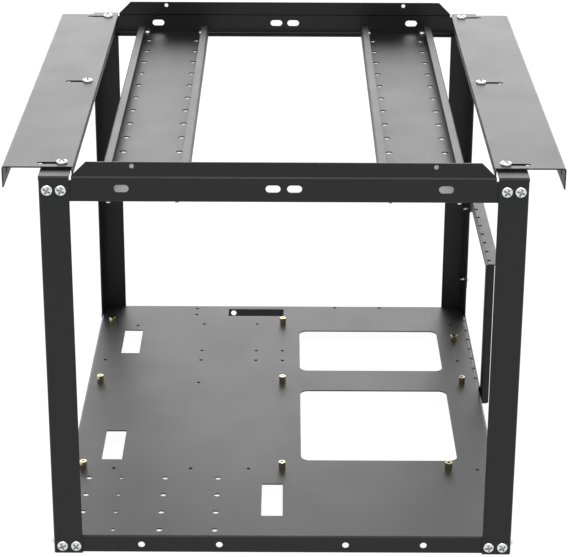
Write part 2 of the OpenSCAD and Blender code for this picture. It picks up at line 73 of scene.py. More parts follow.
# Powder coat: cells of the orange peel, clouds of thicker and thinner film, and the span of their noise
PEEL_CELL, FILM_CELL, FILM_SPAN = 3 * MM, 45 * MM, (0.3, 0.7)
ROUGHNESS_SWING = 0.02
THIN_FILM_TINT = 1.25
# Polyester is near 1.5. The lower value keeps upright faces as dark as a satin film looks.
COAT_IOR = 1.4
# Specular level of the coat and of the tapped holes, kept low there to paint their shade. 0.5 is the usual
# one.
COAT_GLOSS, HOLE_SHADE_GLOSS = 0.5, 0.05
# Full height of the fine relief in the coat and the brass
RELIEF_HEIGHT = 0.02 * MM
# Brass: distance of the drawn feed marks, how strongly they show, and how blurred the metal mirrors
FEED_MARK, FEED_STRENGTH, BRASS_ROUGHNESS = 0.4 * MM, 0.25, 0.2
# Zinc: size of the bath's patches, range of roughness over them, and what a recess has on top
ZINC_PATCH, ZINC_ROUGHNESS, RECESS_DULLNESS = 2 * MM, (0.09, 0.18), 0.45

# Facets round a screw head, a chamfer, a bore and a core, and the steps in a turn of a thread
HEAD_FACETS, CHAMFER_FACETS, BORE_FACETS, CORE_FACETS, THREAD_STEPS = 40, 48, 24, 16, 14
# Screw head: rings on its side and top, then power and size of the dome's drop and of the side's lean
SIDE_RINGS, TOP_RINGS = 5, 6
DOME_POWER, DOME_DROP = 2.5, 0.34
LEAN_POWER, LEAN_IN = 3.0, 0.14
# Cutter of the cross recess: length and width in head radii, height in head heights, half of it sunk
ARM_LENGTH, ARM_WIDTH, ARM_HEIGHT = 1.36, 0.36, 1.4
# Screw thread: its core as a share of the radius, and its ridge as a share of the pitch
SCREW_CORE, SCREW_RIDGE = 0.86, 0.5
# Standoff: circle of the chamfer in widths across flats, and the chamfer cone's spread in heights
CHAMFER_CIRCLE, CHAMFER_SPREAD = 0.49, 1.4
# Thread in the standoff's bore: share of the bore's depth, and its ridge as a share of the pitch
BORE_THREAD, BORE_RIDGE = 0.9, 0.35
# Thread on the standoff's stud: core and ridge in radii, share of the stud's length, pitch in ridges
STUD_CORE, STUD_RIDGE, STUD_THREAD, STUD_PITCH = 0.88, 0.14, 0.85, 3.0
# Collar: start of its cutter under the sheet and the cutter's length, in depths, and the ridge in pitches
CUTTER_START, CUTTER_LENGTH, COLLAR_RIDGE = 1.5, 2.0, 0.45

# Face attribute of what a cutter leaves inside a screw, a standoff or a collar, and of the threads in bores,
# where shade is painted
SHADE_MARK = "painted_shade_inside"
SMOOTH_ANGLE = math.radians(35)
# Reading the CAD meshes: welding distance, snapping distance, tilt of an upright wall, distance of
# facets' axes in one hole, least facets of a round hole, and the rim as a share of the head's radius
WELD = 1e-6
SNAP = MM / 100
UPRIGHT = 0.01
ONE_AXIS = 0.03 * MM
LEAST_FACETS = 10
RIM_SHARE = 0.97

# Floor: half its width, then its grey under scattered light, its glow, and the grey that takes shadows
FLOOR_REACH, FLOOR_GREY, FLOOR_GLOW, FLOOR_SHADOW = 6.0, 0.4, 0.97, 0.12
# Share of the backward direction over which the lit wall fades in
WALL_SPAN = (0.45, 1.0)
# Soft boxes: name, place, width in metres and power in watts, all aimed at one height
SOFT_BOXES = (("soft_box_left", (-1.6, -1.2, 1.9), 1.2, 10.0),
              ("soft_box_right", (1.6, -1.2, 1.9), 1.2, 7.0),
              ("soft_box_top", (0.0, -0.8, 2.2), 1.3, 22.0))
AIM_HEIGHT = 0.15
SENSOR_MM = 36.0
CLIP_START = 0.05


# Nodes in general

def add_node(tree, kind, inputs=None, **settings):
    """Adds one node, sets its properties, and sets each input, or links it if its value is a socket."""
    node = tree.nodes.new(kind)
    for name, value in settings.items():
        setattr(node, name, value)
    for key, value in (inputs or {}).items():
        if isinstance(value, bpy.types.NodeSocket):
            tree.links.new(value, node.inputs[key])
        else:
            node.inputs[key].default_value = value
    return node


def calc(tree, operation, a, b=0.0, c=0.0, **settings):
    """One step of arithmetic on numbers or sockets."""
    return add_node(tree, "ShaderNodeMath", {0: a, 1: b, 2: c}, operation=operation, **settings).outputs[0]


def scaled(tree, value, share):
    """A share of a value."""
    return calc(tree, "MULTIPLY", value, share)


# Colours and shaders

def linear(hex_colour):
    """sRGB hex text to a linear RGBA tuple."""
    values = [int(hex_colour[i:i + 2], 16) / 255 for i in (1, 3, 5)]
    return tuple(v / 12.92 if v <= 0.04045 else ((v + 0.055) / 1.055) ** 2.4 for v in values) + (1.0,)


def grey(level):
    """A linear grey as an RGBA tuple."""
    return (level, level, level, 1.0)


def new_material(name):
    """An empty node material, which the finish functions fill."""
    material = bpy.data.materials.new(name)
    material.use_nodes = True
    material.node_tree.nodes.clear()
    return material


def finish_surface(material, shader):
    """Gives a material its output."""
    add_node(material.node_tree, "ShaderNodeOutputMaterial", {"Surface": shader.outputs[0]})
    return material


def object_place(tree):
    """Object coordinates, so that a pattern keeps its real size and rides with its piece."""
    return add_node(tree, "ShaderNodeTexCoord").outputs["Object"]


def noise(tree, place, cell, detail, roughness=0.5):
    """Noise whose largest cells have a real size."""
    return add_node(tree, "ShaderNodeTexNoise", {"Vector": place, "Scale": 1 / cell, "Detail": detail,
                                                 "Roughness": roughness}).outputs["Fac"]


def mapped(tree, value, low, high, span=(0.0, 1.0), **settings):
    """Brings a value's span to the range from low to high."""
    return add_node(tree, "ShaderNodeMapRange", {"Value": value, "From Min": span[0], "From Max": span[1],
                                                 "To Min": low, "To Max": high}, **settings).outputs["Result"]


def blend(tree, share, first, second):
    """Mixes two colours. Each is an RGBA tuple or a socket."""
    return add_node(tree, "ShaderNodeMix", {"Factor": share, "A": first, "B": second},
                    data_type="RGBA").outputs["Result"]


def relief(tree, height, strength):
    """The bumps that a pattern of heights makes."""
    return add_node(tree, "ShaderNodeBump", {"Strength": strength, "Distance": RELIEF_HEIGHT,
                                             "Height": height}).outputs["Normal"]


def painted_shade_mask(tree):
    """1 on the faces that a cutter left inside a body, which get painted shade, and 0 elsewhere."""
    return add_node(tree, "ShaderNodeAttribute", attribute_name=SHADE_MARK).outputs["Fac"]


def powder_coat(settings):
    """Satin black powder coat on steel: baked polyester, so the film is smooth with a faint orange peel.

    It hardly scatters light, mirrors softly at low angles, and is a little rougher where the film is
    thin. The peel's cells measure about 1.5 mm on the real film and are drawn at 3 mm so that they
    show. Tapped holes get a near-black colour and a low gloss, which paint the shade in them.
    """
    material = new_material("satin_black_powder_coat")
    tree = material.node_tree
    place = object_place(tree)
    peel = noise(tree, place, PEEL_CELL, detail=2.0, roughness=0.4)
    film = noise(tree, place, FILM_CELL, detail=3.0, roughness=0.55)
    rough = mapped(tree, film, settings.coat_roughness - ROUGHNESS_SWING,
                   settings.coat_roughness + ROUGHNESS_SWING, span=FILM_SPAN)
    thick = linear(settings.coat_hex)
    thin = tuple(min(1.0, THIN_FILM_TINT * level) for level in thick[:3]) + (1.0,)
    # Tapped holes get a near-black colour and little gloss: painted shade
    hole_shade_mask = painted_shade_mask(tree)
    colour = blend(tree, hole_shade_mask, blend(tree, film, thick, thin), linear(settings.thread_shade_hex))
    shader = add_node(tree, "ShaderNodeBsdfPrincipled", {
        "IOR": COAT_IOR, "Base Color": colour, "Roughness": rough,
        "Specular IOR Level": mapped(tree, hole_shade_mask, COAT_GLOSS, HOLE_SHADE_GLOSS),
        "Normal": relief(tree, peel, settings.peel_strength)})
    return finish_surface(material, shader)


def turned_brass(settings):
    """Free-cutting brass, turned and left bright, with its bore painted dark as shade.

    Its fine feed marks lie about 0.1 mm apart and are drawn at 0.4 mm.
    """
    material = new_material("turned_brass")
    tree = material.node_tree
    # The wave node draws 20 / tau bands in each of its units
    marks = add_node(tree, "ShaderNodeTexWave", {
        "Vector": object_place(tree), "Scale": math.tau / 20 / FEED_MARK, "Distortion": 2.0,
        "Detail": 1.0}, bands_direction="Z").outputs["Fac"]
    # The bore is painted dark: painted shade
    colour = blend(tree, painted_shade_mask(tree), linear(settings.brass_hex), linear(settings.bore_shade_hex))
    shader = add_node(tree, "ShaderNodeBsdfPrincipled", {
        "Metallic": 1.0, "Roughness": BRASS_ROUGHNESS, "Base Color": colour,
        "Normal": relief(tree, marks, FEED_STRENGTH)})
    return finish_surface(material, shader)


def bright_zinc(settings):
    """Steel screws with bright zinc plate: a pale, slightly cool metal with faint patches of the bath.

    The cross recess is rougher, and painted darker as its shade.
    """
    material = new_material("bright_zinc_plate")
    tree = material.node_tree
    patches = noise(tree, object_place(tree), ZINC_PATCH, detail=3.0)
    # The cross recess is painted darker as its shade, and made rougher
    recess_shade_mask = painted_shade_mask(tree)
    rough = calc(tree, "MULTIPLY_ADD", recess_shade_mask, RECESS_DULLNESS, mapped(tree, patches, *ZINC_ROUGHNESS))
    colour = blend(tree, recess_shade_mask, linear(settings.zinc_hex), linear(settings.recess_shade_hex))
    shader = add_node(tree, "ShaderNodeBsdfPrincipled",
                      {"Metallic": 1.0, "Base Color": colour, "Roughness": rough})
    return finish_surface(material, shader)


# Geometry nodes

def new_tree(name, sizes):
    """A geometry node tree with a geometry input, the named inputs and a geometry output."""
    tree = bpy.data.node_groups.new(name, "GeometryNodeTree")
    tree.interface.new_socket("Geometry", in_out="INPUT", socket_type="NodeSocketGeometry")
    for label, (kind, value) in sizes.items():
        socket = tree.interface.new_socket(label, in_out="INPUT", socket_type="NodeSocket" + kind)
        if value is not None:
            socket.default_value = value
    tree.interface.new_socket("Geometry", in_out="OUTPUT", socket_type="NodeSocketGeometry")
    return tree


def vector(tree, x=0.0, y=0.0, z=0.0):
    """A vector of three numbers or sockets."""
    return add_node(tree, "ShaderNodeCombineXYZ", {"X": x, "Y": y, "Z": z}).outputs[0]


def moved(tree, geometry, z):
    """The geometry, moved up by z."""
    return add_node(tree, "GeometryNodeTransform",
                    {"Geometry": geometry, "Translation": vector(tree, z=z)}).outputs[0]


def joined(tree, parts):
    """The parts as one geometry."""
    node = add_node(tree, "GeometryNodeJoinGeometry")
    for part in parts:
        tree.links.new(part, node.inputs[0])
    return node.outputs[0]


def cut(tree, body, tools, operation="DIFFERENCE"):
    """Takes the tools away from the body, or keeps what both share."""
    first = "Mesh 1" if operation == "DIFFERENCE" else "Mesh 2"
    node = add_node(tree, "GeometryNodeMeshBoolean", {first: body, "Self Intersection": True},
                    operation=operation, solver="EXACT")
    tree.links.new(tools, node.inputs["Mesh 2"])
    return node.outputs["Mesh"]


def mark_shaded(tree, cutter):
    """Marks a cutter's faces, so that what it leaves in a body gets the painted shade of a recess."""
    return add_node(tree, "GeometryNodeStoreNamedAttribute", {"Geometry": cutter, "Name": SHADE_MARK,
                    "Value": 1.0}, data_type="FLOAT", domain="FACE").outputs["Geometry"]


def rod(tree, radius, low, length, facets):
    """A cylinder along Z that starts at the height low."""
    rod_mesh = add_node(tree, "GeometryNodeMeshCylinder",
                        {"Vertices": facets, "Radius": radius, "Depth": length}).outputs["Mesh"]
    return moved(tree, rod_mesh, z=calc(tree, "MULTIPLY_ADD", length, 0.5, low))


def thread(tree, radius, low, length, pitch, ridge):
    """A helical ridge round Z: a three-sided profile swept along a spiral, closed at both ends."""
    spiral = add_node(tree, "GeometryNodeCurveSpiral", {
        "Resolution": THREAD_STEPS, "Rotations": calc(tree, "DIVIDE", length, pitch),
        "Start Radius": radius, "End Radius": radius, "Height": length}).outputs[0]
    profile = add_node(tree, "GeometryNodeCurvePrimitiveCircle",
                       {"Resolution": 3, "Radius": ridge}).outputs[0]
    sweep = add_node(tree, "GeometryNodeCurveToMesh",
                     {"Fill Caps": True, "Curve": spiral, "Profile Curve": profile}).outputs[0]
    return moved(tree, sweep, z=low)


def scatter(tree, given, part):
    """Copies the part to every point, spins each by a fixed random angle, and turns all to the facing."""
    spin = add_node(tree, "FunctionNodeRandomValue", {
        "Min": (0, 0, 0), "Max": (0, 0, math.tau), "Seed": given["Seed"]}, data_type="FLOAT_VECTOR")
    own = add_node(tree, "FunctionNodeEulerToRotation", {"Euler": spin.outputs["Value"]})
    whole = add_node(tree, "FunctionNodeEulerToRotation", {"Euler": given["Facing"]})
    both = add_node(tree, "FunctionNodeRotateRotation", {"Rotation": whole.outputs[0],
                    "Rotate By": own.outputs[0]}, rotation_space="LOCAL")
    copies = add_node(tree, "GeometryNodeInstanceOnPoints", {
        "Points": given["Geometry"], "Instance": part, "Rotation": both.outputs[0]})
    real = add_node(tree, "GeometryNodeRealizeInstances", {"Geometry": copies.outputs[0]})
    done = add_node(tree, "GeometryNodeSetMaterial",
                    {"Geometry": real.outputs[0], "Material": given["Finish"]})
    add_node(tree, "NodeGroupOutput", {0: done.outputs[0]})


PLACING = {"Facing": ("Vector", (0.0, 0.0, 0.0)), "Seed": ("Int", 1), "Finish": ("Material", None)}


def screw_tree():
    """Pan-head screw with a cross recess and a threaded shank. Z points out of the head, from the seat."""
    tree = new_tree("pan_head_screws", {
        "Head Radius": ("Float", 4 * MM), "Head Height": ("Float", 2.5 * MM),
        "Shank Radius": ("Float", 1.95 * MM), "Shank Length": ("Float", 6 * MM),
        "Pitch": ("Float", 0.7 * MM), **PLACING})
    given = add_node(tree, "NodeGroupInput").outputs
    radius, height, pitch = given["Head Radius"], given["Head Height"], given["Pitch"]
    blank = add_node(tree, "GeometryNodeMeshCylinder", {
        "Vertices": HEAD_FACETS, "Side Segments": SIDE_RINGS, "Fill Segments": TOP_RINGS,
        "Radius": radius, "Depth": height}, fill_type="TRIANGLE_FAN").outputs["Mesh"]
    seated = moved(tree, blank, z=scaled(tree, height, 0.5))
    # The top is a shallow dome and the side leans in: both grow with the height above the seat
    position = add_node(tree, "GeometryNodeInputPosition").outputs[0]
    apart = add_node(tree, "ShaderNodeSeparateXYZ", {"Vector": position}).outputs
    reach = add_node(tree, "ShaderNodeVectorMath", {0: vector(tree, apart["X"], apart["Y"])},
                     operation="LENGTH").outputs["Value"]
    share = calc(tree, "POWER", calc(tree, "DIVIDE", reach, radius), DOME_POWER)
    level = calc(tree, "DIVIDE", apart["Z"], height)
    drop = calc(tree, "MULTIPLY", calc(tree, "MULTIPLY", share, level), scaled(tree, height, DOME_DROP))
    lean = calc(tree, "SUBTRACT", 1.0, scaled(tree, calc(tree, "POWER", level, LEAN_POWER), LEAN_IN))
    shaped = vector(tree, calc(tree, "MULTIPLY", apart["X"], lean),
                    calc(tree, "MULTIPLY", apart["Y"], lean), calc(tree, "SUBTRACT", apart["Z"], drop))
    head = add_node(tree, "GeometryNodeSetPosition", {"Geometry": seated, "Position": shaped}).outputs[0]
    long, thin = scaled(tree, radius, ARM_LENGTH), scaled(tree, radius, ARM_WIDTH)
    high = scaled(tree, height, ARM_HEIGHT)
    arms = []
    for extent in (vector(tree, long, thin, high), vector(tree, thin, long, high)):
        arm = add_node(tree, "GeometryNodeMeshCube", {"Size": extent}).outputs["Mesh"]
        arms.append(moved(tree, arm, z=height))
    driven = cut(tree, head, mark_shaded(tree, joined(tree, arms)))
    low = scaled(tree, given["Shank Length"], -1.0)
    core = scaled(tree, given["Shank Radius"], SCREW_CORE)
    shank = rod(tree, core, low, given["Shank Length"], CORE_FACETS)
    ridge = scaled(tree, pitch, SCREW_RIDGE)
    helix = thread(tree, calc(tree, "SUBTRACT", given["Shank Radius"], ridge),
                   calc(tree, "ADD", low, ridge), calc(tree, "SUBTRACT", given["Shank Length"], pitch),
                   pitch, ridge)
    scatter(tree, given, joined(tree, [driven, shank, helix]))
    return tree


def standoff_tree():
    """Hexagonal standoff: chamfered corners, a threaded blind bore above and a threaded stud below."""
    tree = new_tree("hex_standoffs", {
        "Across Flats": ("Float", 5 * MM), "Height": ("Float", 6.5 * MM),
        "Bore Radius": ("Float", 1.5 * MM), "Bore Depth": ("Float", 3.25 * MM),
        "Stud Radius": ("Float", 1.75 * MM), "Stud Length": ("Float", 3.4 * MM),
        "Pitch": ("Float", 0.5 * MM), **PLACING})
    given = add_node(tree, "NodeGroupInput").outputs
    height, pitch = given["Height"], given["Pitch"]
    corner = calc(tree, "DIVIDE", given["Across Flats"], math.sqrt(3))
    prism = rod(tree, corner, 0.0, height, facets=6)
    circle = scaled(tree, given["Across Flats"], CHAMFER_CIRCLE)
    cone = add_node(tree, "GeometryNodeMeshCone", {
        "Vertices": CHAMFER_FACETS, "Radius Top": circle, "Depth": height,
        "Radius Bottom": calc(tree, "ADD", circle, scaled(tree, height, CHAMFER_SPREAD))})
    body = cut(tree, prism, cone.outputs["Mesh"], "INTERSECT")
    bottom = calc(tree, "SUBTRACT", height, given["Bore Depth"])
    bore = rod(tree, given["Bore Radius"], bottom, height, BORE_FACETS)
    hollow = cut(tree, body, mark_shaded(tree, bore))
    inside = thread(tree, given["Bore Radius"], bottom, scaled(tree, given["Bore Depth"], BORE_THREAD),
                    pitch, scaled(tree, pitch, BORE_RIDGE))
    low = scaled(tree, given["Stud Length"], -1.0)
    core = scaled(tree, given["Stud Radius"], STUD_CORE)
    stud = rod(tree, core, low, given["Stud Length"], CORE_FACETS)
    ridge = scaled(tree, given["Stud Radius"], STUD_RIDGE)
    outside = thread(tree, calc(tree, "SUBTRACT", given["Stud Radius"], ridge),
                     calc(tree, "ADD", low, ridge), scaled(tree, given["Stud Length"], STUD_THREAD),
                     scaled(tree, ridge, STUD_PITCH), ridge)
    scatter(tree, given, joined(tree, [hollow, mark_shaded(tree, inside), stud, outside]))
    return tree


def collar_tree():
    """Tapped collar: the rim of a threaded hole, drawn down below the sheet to hold more turns."""
    tree = new_tree("tapped_collars", {
        "Bore Radius": ("Float", 1.45 * MM), "Wall": ("Float", 0.6 * MM), "Depth": ("Float", 1.8 * MM),
        "Sheet": ("Float", 1.0 * MM), "Pitch": ("Float", 0.5 * MM), **PLACING})
    given = add_node(tree, "NodeGroupInput").outputs
    radius, depth, pitch = given["Bore Radius"], given["Depth"], given["Pitch"]
    low = scaled(tree, depth, -1.0)
    outer = rod(tree, calc(tree, "ADD", radius, given["Wall"]), low, depth, BORE_FACETS)
    bore = rod(tree, radius, scaled(tree, low, CUTTER_START), scaled(tree, depth, CUTTER_LENGTH),
               BORE_FACETS)
    tube = cut(tree, outer, mark_shaded(tree, bore))
    # The thread goes on up through the sheet, and stops just under its face
    ridge = scaled(tree, pitch, COLLAR_RIDGE)
    length = calc(tree, "SUBTRACT", calc(tree, "ADD", depth, given["Sheet"]), ridge)
    helix = thread(tree, radius, low, length, pitch, ridge)
    scatter(tree, given, joined(tree, [tube, mark_shaded(tree, helix)]))
    return tree


# Meshes

def linked(name, mesh):
    """A new object with the mesh, in the scene."""
    thing = bpy.data.objects.new(name, mesh)
    bpy.context.scene.collection.objects.link(thing)
    return thing


def grown(name, places, tree, values):
    """Runs the tree on the places and returns a plain mesh object with the result."""
    seeds = linked(name + "_places", bpy.data.meshes.new(name + "_places"))
    seeds.data.from_pydata([tuple(p) for p in places], [], [])
    modifier = seeds.modifiers.new("copies", "NODES")
    modifier.node_group = tree
    sockets = {i.name: i.identifier for i in tree.interface.items_tree if i.in_out == "INPUT"}
    for label, value in values.items():
        modifier[sockets[label]] = value
    graph = bpy.context.evaluated_depsgraph_get()
    graph.update()
    mesh = bpy.data.meshes.new_from_object(seeds.evaluated_get(graph), depsgraph=graph)
    bpy.data.objects.remove(seeds)
    if not mesh.polygons:
        raise RuntimeError("the tree gave no faces for " + name)
    mesh.name = name
    # A boolean leaves an empty material slot in front of the finish
    mesh.materials.clear()
    mesh.materials.append(values["Finish"])
    for face in mesh.polygons:
        face.material_index = 0
        face.use_smooth = True
    mesh.set_sharp_from_angle(angle=SMOOTH_ANGLE)
    return linked(name, mesh)


def one_piece(parts, name):
    """Joins grown parts into one plain mesh object."""
    shape = bmesh.new()
    for part in parts:
        shape.from_mesh(part.data)
    mesh = bpy.data.meshes.new(name)
    shape.to_mesh(mesh)
    shape.free()
    mesh.materials.append(parts[0].data.materials[0])
    for part in parts:
        bpy.data.objects.remove(part)
    return linked(name, mesh)


def solid_boxes(node):
    """The box of each separate solid of a CAD node, as a low and a high corner."""
    shape = bmesh.new()
    shape.from_mesh(NODES[node].data)
    bmesh.ops.remove_doubles(shape, verts=shape.verts, dist=WELD)
    left = set(shape.verts)
    boxes = []
    while left:
        stack = [left.pop()]
        group = []
        while stack:
            vert = stack.pop()
            group.append(vert.co.copy())
            for edge in vert.link_edges:
                other = edge.other_vert(vert)
                if other in left:
                    left.remove(other)
                    stack.append(other)
        boxes.append((Vector([min(c[i] for c in group) for i in range(3)]),
                      Vector([max(c[i] for c in group) for i in range(3)])))
    shape.free()
    return sorted(boxes, key=lambda b: tuple(b[0]))


def hole_places(node, radius, sheet):
    """Middles of the upright holes of one radius in a CAD node, at the sheet's underside.

    Each facet of a hole's wall points at the hole's axis, so facets that agree on an axis are one hole.
    """
    mesh = NODES[node].data
    holes = []
    for face in mesh.polygons:
        if abs(face.normal.z) > UPRIGHT:
            continue
        points = [mesh.vertices[i].co for i in face.vertices]
        one, other = max(itertools.combinations(points, 2),
                         key=lambda pair: (pair[0].xy - pair[1].xy).length)
        half = (one.xy - other.xy).length / 2
        if half >= radius:
            continue
        inward = face.normal.xy.normalized() * math.sqrt(radius ** 2 - half ** 2)
        axis = (one.xy + other.xy) / 2 + inward
        top = max(point.z for point in points)
        for hole in holes:
            if (hole["axis"] - axis).length < ONE_AXIS:
                hole["facets"] += 1
                hole["top"] = max(hole["top"], top)
                break
        else:
            holes.append({"axis": axis, "facets": 1, "top": top})
    return sorted((hole["axis"].x, hole["axis"].y, hole["top"] - sheet) for hole in holes
                  if hole["facets"] >= LEAST_FACETS)


def screw_seats(node, axis, outward, head):
    """Where a node's screws that face outward along the axis are seated, with head height and length."""
    found = []
    for low, high in solid_boxes(node):
        middle = (low + high) / 2
        rim = []
        for vertex in NODES[node].data.vertices:
            place = vertex.co
            if all(low[i] - SNAP <= place[i] <= high[i] + SNAP for i in range(3)):
                arm = place - middle
                arm[axis] = 0.0
                if arm.length > RIM_SHARE * head:
                    rim.append(place[axis])
        seat = rim[0]
        faces = 1 if abs(high[axis] - seat) < abs(seat - low[axis]) else -1
        if faces != outward:
            continue
        middle[axis] = seat
        top, foot = (high[axis], low[axis]) if faces > 0 else (low[axis], high[axis])
        found.append((middle, abs(top - seat), abs(foot - seat)))
    return found


# Sizes and colours that a user may change

def colour_text(label, note, default):
    """A colour property, given as sRGB hex text."""
    return bpy.props.StringProperty(name=label, description="sRGB hex colour " + note, default=default)


def measure(label, note, millimetres):
    """A length property, given in millimetres and kept in metres."""
    return bpy.props.FloatProperty(name=label, description=note, default=millimetres * MM, min=0,
                                   precision=5, unit="LENGTH")


class CoatingSettings(bpy.types.PropertyGroup):
    coat_hex: colour_text("Coat colour", "of the powder coat", "#101011")
    coat_roughness: bpy.props.FloatProperty(
        name="Coat roughness", description="How blurred the coat mirrors", default=0.47, min=0.05,
        max=1.0, subtype="FACTOR")
    peel_strength: bpy.props.FloatProperty(
        name="Orange peel", description="Depth of the film's orange peel", default=0.25, min=0.0,
        max=1.0, subtype="FACTOR")
    # Near black, painted into the tapped holes as their shade
    thread_shade_hex: colour_text("Thread colour", "inside the tapped holes", "#060606")
    brass_hex: colour_text("Brass colour", "of the standoffs", "#BDB58F")
    # Dark, painted into the standoffs' bores as their shade
    bore_shade_hex: colour_text("Bore colour", "inside the standoffs' bores", "#2E2A1C")
    zinc_hex: colour_text("Zinc colour", "of the screws", "#D6D7D8")
    # Darker, painted into the screws' cross recesses as their shade
    recess_shade_hex: colour_text("Recess colour", "of the screws' cross recesses", "#B0B2B4")


class FastenerSettings(bpy.types.PropertyGroup):
    large_head: measure("Large head", "Radius of the large screws' heads", 4.0)
    large_shank: measure("Large shank", "Radius over the large screws' thread", 1.95)
    large_pitch: measure("Large pitch", "Pitch of the large screws' thread", 0.7)
    small_head: measure("Small head", "Radius of the small screws' heads", 2.8)
    small_shank: measure("Small shank", "Radius over the small screws' thread", 1.45)
    small_pitch: measure("Small pitch", "Pitch of the small screws' thread", 0.5)
    standoff_flats: measure("Standoff flats", "Width of a standoff across its flats", 5.0)
    standoff_bore: measure("Standoff bore", "Radius of the bore in a standoff", 1.25)
    stud_radius: measure("Stud", "Radius of a standoff's stud", 1.75)
    stud_length: measure("Stud length", "Length of a standoff's stud under the hexagon", 3.4)
    tapped_hole: measure("Tapped hole", "Radius of the tray's threaded holes", 1.45)
    card_hole: measure("Card hole", "Radius of the threaded holes for card screws", 1.6)
    sheet: measure("Sheet", "Thickness of the folded sheet", 1.0)
    collar_wall: measure("Collar wall", "Wall of the collar drawn down round a threaded hole", 0.6)
    collar_depth: measure("Collar depth", "Depth of that collar below the sheet", 1.0)


class StudioSettings(bpy.types.PropertyGroup):
    lens_mm: bpy.props.FloatProperty(
        name="Lens", description="Focal length for a 36 mm wide picture", default=128.23, min=20, max=300)
    camera_place: bpy.props.FloatVectorProperty(
        name="Camera place", description="Where the camera stands", subtype="XYZ", unit="LENGTH",
        default=(0.0007, -1.51656, 0.75244))
    camera_pitch: bpy.props.FloatProperty(
        name="Camera pitch", description="Angle that the camera looks down",
        default=math.radians(22.33), subtype="ANGLE", unit="ROTATION")
    camera_roll: bpy.props.FloatProperty(
        name="Camera roll", description="Small turn of the picture", default=math.radians(-0.24),
        subtype="ANGLE", unit="ROTATION")
    backdrop_light: bpy.props.FloatProperty(
        name="Backdrop light", description="Brightness of the lit wall behind the frame", default=4.9,
        min=0)
    room_light: bpy.props.FloatProperty(
        name="Room light", description="Brightness of the rest of the studio", default=0.45, min=0)


# Operators and panel

def paint(node, material):
    """Gives every material slot of a CAD node the material."""
    if not NODES[node].material_slots:
        raise RuntimeError("no material slot on " + node)
    for slot in NODES[node].material_slots:
        slot.material = material


class SheetFrameOperator:
    """What all operators of this add-on share."""
    bl_options = {"REGISTER", "UNDO"}


class FRAME_OT_coat_sheets(SheetFrameOperator, bpy.types.Operator):
    """Give every folded sheet its powder coat."""
    bl_idname = "sheet_frame.coat_sheets"
    bl_label = "Coat Sheets"

    def execute(self, context):
        coat = powder_coat(context.scene.sheet_coating)
        for node in FRAME_SHEETS + WING_SHEETS:
            paint(node, coat)
        return {"FINISHED"}


class FRAME_OT_screws(SheetFrameOperator, bpy.types.Operator):
    """Put a pan-head screw with a cross recess in the place of each plain screw."""
    bl_idname = "sheet_frame.screws"
    bl_label = "Screws"

    def execute(self, context):
        zinc = bright_zinc(context.scene.sheet_coating)
        sizes = context.scene.sheet_fasteners
        measures = {"large": (sizes.large_head, sizes.large_shank, sizes.large_pitch),
                    "small": (sizes.small_head, sizes.small_shank, sizes.small_pitch)}
        tree = screw_tree()
        for number, (node, (kind, axis)) in enumerate(SCREW_NODES.items()):
            head, shank, pitch = measures[kind]
            groups = []
            for outward in (-1, 1):
                seats = screw_seats(node, axis, outward, head)
                if not seats:
                    continue
                values = {"Head Radius": head, "Head Height": seats[0][1], "Shank Length": seats[0][2],
                          "Shank Radius": shank, "Pitch": pitch, "Facing": FACING[axis, outward],
                          "Seed": FIRST_SCREW_SEED + 2 * number + (outward > 0), "Finish": zinc}
                groups.append(grown(node + "_turned", [seat[0] for seat in seats], tree, values))
            if not groups:
                raise RuntimeError("no screw found in " + node)
            piece = one_piece(groups, node + "_turned")
            paint(node, zinc)
            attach(piece, "frame")
            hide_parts(node)
        return {"FINISHED"}


class FRAME_OT_standoffs(SheetFrameOperator, bpy.types.Operator):
    """Put a chamfered and threaded hexagonal standoff in the place of each plain one."""
    bl_idname = "sheet_frame.standoffs"
    bl_label = "Standoffs"

    def execute(self, context):
        sizes = context.scene.sheet_fasteners
        brass = turned_brass(context.scene.sheet_coating)
        places = []
        for low, high in solid_boxes("standoffs"):
            middle = (low + high) / 2
            seat = low.z + sizes.stud_length
            height = high.z - seat
            places.append((middle.x, middle.y, seat))
        values = {"Across Flats": sizes.standoff_flats, "Height": height,
                  "Bore Radius": sizes.standoff_bore, "Bore Depth": height / 2,
                  "Stud Radius": sizes.stud_radius, "Stud Length": sizes.stud_length,
                  "Pitch": sizes.small_pitch, "Seed": STANDOFF_SEED, "Finish": brass}
        piece = grown("standoffs_turned", places, standoff_tree(), values)
        paint("standoffs", brass)
        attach(piece, "frame")
        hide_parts("standoffs")
        return {"FINISHED"}


class FRAME_OT_collars(SheetFrameOperator, bpy.types.Operator):
    """Add the drawn and tapped collar under each threaded hole of the tray and the bracket's flange."""
    bl_idname = "sheet_frame.collars"
    bl_label = "Tapped Collars"

    def execute(self, context):
        sizes = context.scene.sheet_fasteners
        coat = powder_coat(context.scene.sheet_coating)
        tree = collar_tree()
        for name, node, radius, slot in (
                ("tray_collars", "base_tray", sizes.tapped_hole, "tray_coat"),
                ("card_collars", "slot_bracket", sizes.card_hole, "frame_coat")):
            places = hole_places(node, radius, sizes.sheet)
            if not places:
                raise RuntimeError("no tapped hole found in " + node)
            values = {"Bore Radius": radius, "Wall": sizes.collar_wall, "Depth": sizes.collar_depth,
                      "Sheet": sizes.sheet, "Pitch": sizes.small_pitch, "Seed": COLLAR_SEED,
                      "Finish": coat}
            piece = grown(name, places, tree, values)
            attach(piece, "frame")
        return {"FINISHED"}


